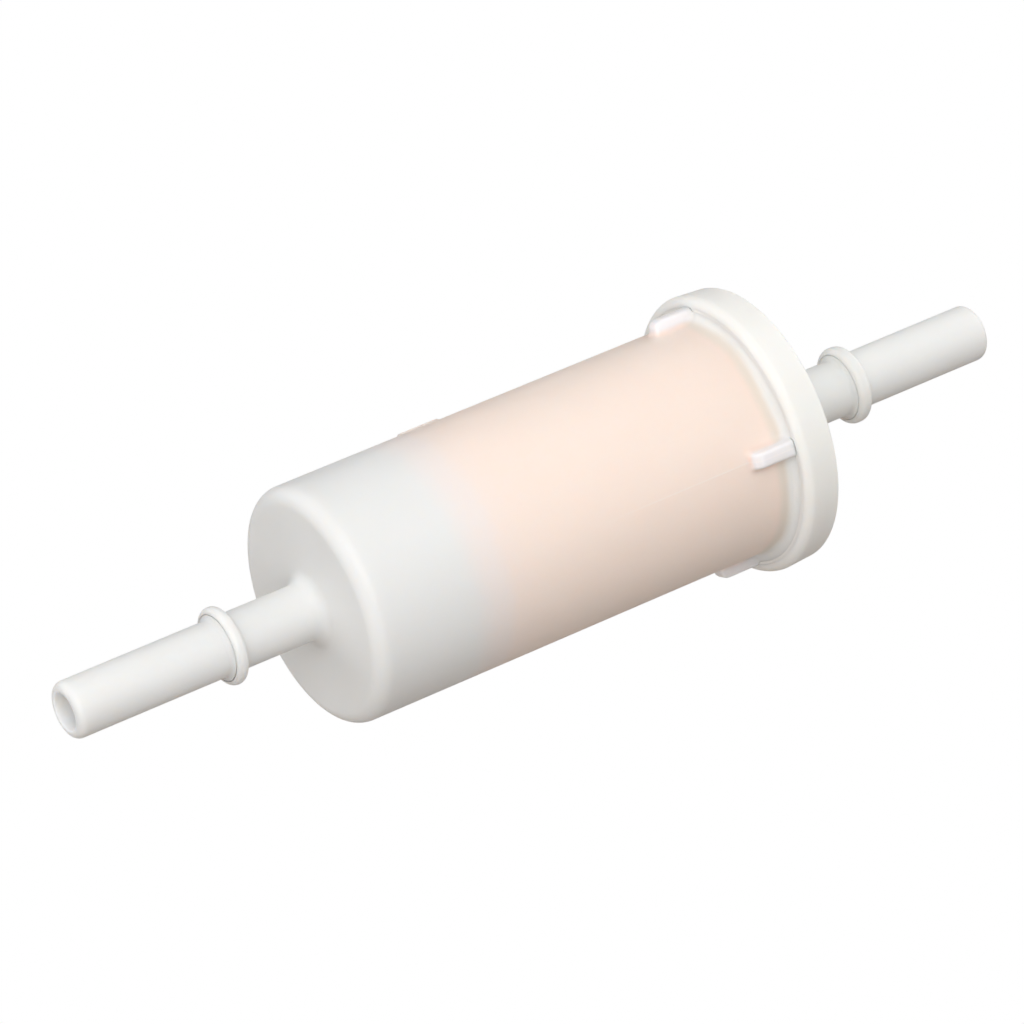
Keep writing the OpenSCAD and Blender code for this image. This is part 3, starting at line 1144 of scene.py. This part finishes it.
@dataclass
class Element:
    """The pleated paper element with its end discs, adhesive, support tube, seam clip and O-ring."""

    pleats: int = 24
    tip_r: float = 13.0 * MM
    valley_r: float = 7.0 * MM
    paper: float = 0.4 * MM
    steps: int = 14

    def pleat_line(self) -> Array:
        """The middle line of the folded paper, seen along the axis, with rounded folds.

        Returns:
            Points in Y and Z, in order round the axis.
        """
        half_turn = math.pi / self.pleats
        inset = 0.75 * self.paper
        radii = [self.tip_r - inset, self.valley_r + inset]
        corners = np.array([
            around(0.0, radii[i % 2], math.pi + half_turn * i)[1:] for i in range(2 * self.pleats)
        ])
        following = np.roll(corners, -1, axis=0)
        shares = np.arange(self.steps)[None, :, None] / self.steps
        line = (corners[:, None] * (1 - shares) + following[:, None] * shares).reshape(-1, 2)
        for _ in range(2):
            line = (np.roll(line, 1, axis=0) + 2 * line + np.roll(line, -1, axis=0)) / 4
        return line

    def build_paper(self, wardrobe: Wardrobe) -> Piece:
        """Makes the pleated paper as a folded sheet of even thickness.

        Args:
            wardrobe: The finishes.

        Returns:
            The piece.
        """
        low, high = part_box("pleated_media")
        line = self.pleat_line()
        along = np.roll(line, -1, axis=0) - np.roll(line, 1, axis=0)
        along /= np.linalg.norm(along, axis=1, keepdims=True)
        out = np.stack([along[:, 1], -along[:, 0]], axis=1) * self.paper / 2
        places = np.linspace(low.x, high.x, 13)
        rows = [np.column_stack([np.full(len(line), x), line + out]) for x in places]
        rows += [np.column_stack([np.full(len(line), x), line - out]) for x in places[::-1]]
        piece = wardrobe.skin("pleated_paper", np.array(rows), Slot.PAPER)
        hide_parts("pleated_media")
        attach(piece, "root")
        return piece

    def build_seal(self, wardrobe: Wardrobe) -> Piece:
        """Makes the O-ring that seals the element on the nozzle.

        Args:
            wardrobe: The finishes.

        Returns:
            The piece.
        """
        low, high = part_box("outlet_seal_ring")
        cord = (high.x - low.x) / 2
        outline = Outline()
        outline.arc((low.x + high.x) / 2, high.z - cord, cord, 0, 345, 23)
        piece = wardrobe.skin("nozzle_o_ring", outline.rings(np.radians(np.arange(0, 360, 3.0))), Slot.RUBBER)
        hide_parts("outlet_seal_ring")
        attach(piece, "root")
        return piece

    def dress_solids(self, wardrobe: Wardrobe) -> None:
        """Dresses the solids of the element that keep their own shape.

        Args:
            wardrobe: The finishes.
        """
        slots = {
            Slot.DISC: ("closed_end_disc", "open_end_disc", "support_tube"),
            Slot.ADHESIVE: ("inlet_potting", "outlet_potting"),
            Slot.CLIP: ("media_seam_clip",),
        }
        for slot, nodes in slots.items():
            for node in nodes:
                wardrobe.dress_solid(node, slot)
                log.info("dressed solid %s", node)


# ---- stage, lights, camera


def direction(azimuth: float, elevation: float) -> Vector:
    """The direction from the filter to what stands at these angles, in degrees from the front."""
    turn, lift = math.radians(azimuth), math.radians(elevation)
    return Vector((math.sin(turn) * math.cos(lift), -math.cos(turn) * math.cos(lift), math.sin(lift)))


@dataclass(frozen=True)
class Softbox:
    """One large square studio light, aimed at the filter."""

    name: str
    azimuth: float
    elevation: float
    power: float
    size: float = 0.5
    distance: float = 0.6

    def hang(self) -> None:
        """Adds the light to the scene."""
        lamp = bpy.data.lights.new(self.name, "AREA")
        lamp.size = self.size
        lamp.energy = self.power
        light = bpy.data.objects.new(self.name, lamp)
        bpy.context.scene.collection.objects.link(light)
        towards = direction(self.azimuth, self.elevation)
        light.location = towards * self.distance
        light.rotation_euler = towards.to_track_quat("Z", "Y").to_euler()


@dataclass
class Studio:
    """The plain pale floor, the soft surround and the lights."""

    floor_drop: float = 0.25
    floor_size: float = 6.0
    floor_tone: Colour = (0.46, 0.41, 0.37)
    surround: float = 0.08
    lights: tuple[Softbox, ...] = (
        Softbox("high_box", -35.0, 62.0, 2.13),
        Softbox("front_box", -35.0, 30.0, 1.07),
        Softbox("left_box", -100.0, 25.0, 0.72),
        Softbox("low_left_box", -75.0, 0.0, 0.69),
        Softbox("right_box", 35.0, 25.0, 0.9),
        Softbox("far_left_box", -155.0, 20.0, 1.09),
        Softbox("far_right_box", 95.0, 20.0, 1.53),
        Softbox("back_box", 150.0, 55.0, 0.38),
    )

    @staticmethod
    def white_to_camera(graph: Graph, lit: Socket, kind: str) -> Socket:
        """Shows plain white where the camera looks straight at a surface, and its own shader otherwise.

        Args:
            graph: The tree to build in.
            lit: The shader that lights and reflections see.
            kind: The type of the emitting node.

        Returns:
            The shader socket.
        """
        seen = graph.add("ShaderNodeLightPath").outputs["Is Camera Ray"]
        white = graph.add(kind, opaque((1.0, 1.0, 1.0)), 1.0).outputs[0]
        return graph.add("ShaderNodeMixShader", seen, lit, white).outputs[0]

    def lay_floor(self) -> None:
        """Lays the floor well below the filter."""
        half = self.floor_size / 2
        corners = [(-half, -half, 0), (half, -half, 0), (half, half, 0), (-half, half, 0)]
        mesh = bpy.data.meshes.new("floor")
        mesh.from_pydata(corners, [], [(0, 1, 2, 3)])
        floor = bpy.data.objects.new("floor", mesh)
        floor.location.z = -self.floor_drop
        bpy.context.scene.collection.objects.link(floor)
        material, graph = new_material("floor_paint")
        paint = graph.add("ShaderNodeBsdfDiffuse", opaque(self.floor_tone)).outputs[0]
        graph.add("ShaderNodeOutputMaterial", self.white_to_camera(graph, paint, "ShaderNodeEmission"))
        mesh.materials.append(material)

    def wrap(self) -> None:
        """Surrounds the scene with a faint even light."""
        world = bpy.data.worlds.new("surround")
        bpy.context.scene.world = world
        world.use_nodes = True
        world.node_tree.nodes.clear()
        graph = Graph(world.node_tree)
        light = graph.add("ShaderNodeBackground", opaque((1.0, 1.0, 1.0)), self.surround).outputs[0]
        graph.add("ShaderNodeOutputWorld", self.white_to_camera(graph, light, "ShaderNodeBackground"))

    def build(self) -> None:
        """Sets up the floor, the surround and the lights."""
        self.lay_floor()
        self.wrap()
        for light in self.lights:
            light.hang()
        bpy.context.scene.view_settings.view_transform = "Standard"


@dataclass
class Viewpoint:
    """A long lens that looks down along the filter from its inlet side."""

    azimuth: float = -34.5
    elevation: float = 37.55
    distance: float = 856.6 * MM
    lens: float = 235.98
    aim_x: float = -1.636 * MM
    right: float = -1.632 * MM
    up: float = 0.898 * MM

    def place(self) -> None:
        """Makes the camera and sets it as the scene's own."""
        back = direction(self.azimuth, self.elevation)
        right = direction(self.azimuth + 90.0, 0.0)
        up = back.cross(right)
        lens = bpy.data.cameras.new("camera")
        lens.lens = self.lens
        lens.sensor_width = 36.0
        lens.clip_start, lens.clip_end = 0.01, 20.0
        camera = bpy.data.objects.new("camera", lens)
        bpy.context.scene.collection.objects.link(camera)
        middle = Vector((self.aim_x, 0.0, 0.0))
        place = middle + back * self.distance + right * self.right + up * self.up
        axes = Matrix((right, up, back)).transposed()
        camera.matrix_world = Matrix.Translation(place) @ axes.to_4x4()
        bpy.context.scene.camera = camera


def main() -> None:
    """Builds the filter piece by piece, then the studio and the camera."""
    logging.basicConfig(level=logging.INFO, format="%(name)s: %(message)s")
    wardrobe = Wardrobe()
    wardrobe.fill()
    element = Element()
    steps = (Housing().build, Lid().build, WeldBead().build, element.build_paper, element.build_seal)
    for step in steps:
        piece = step(wardrobe)
        log.info("built %s with %d points", piece.name, len(piece.data.vertices))
    element.dress_solids(wardrobe)
    Studio().build()
    Viewpoint().place()


if __name__ == "__main__":
    main()
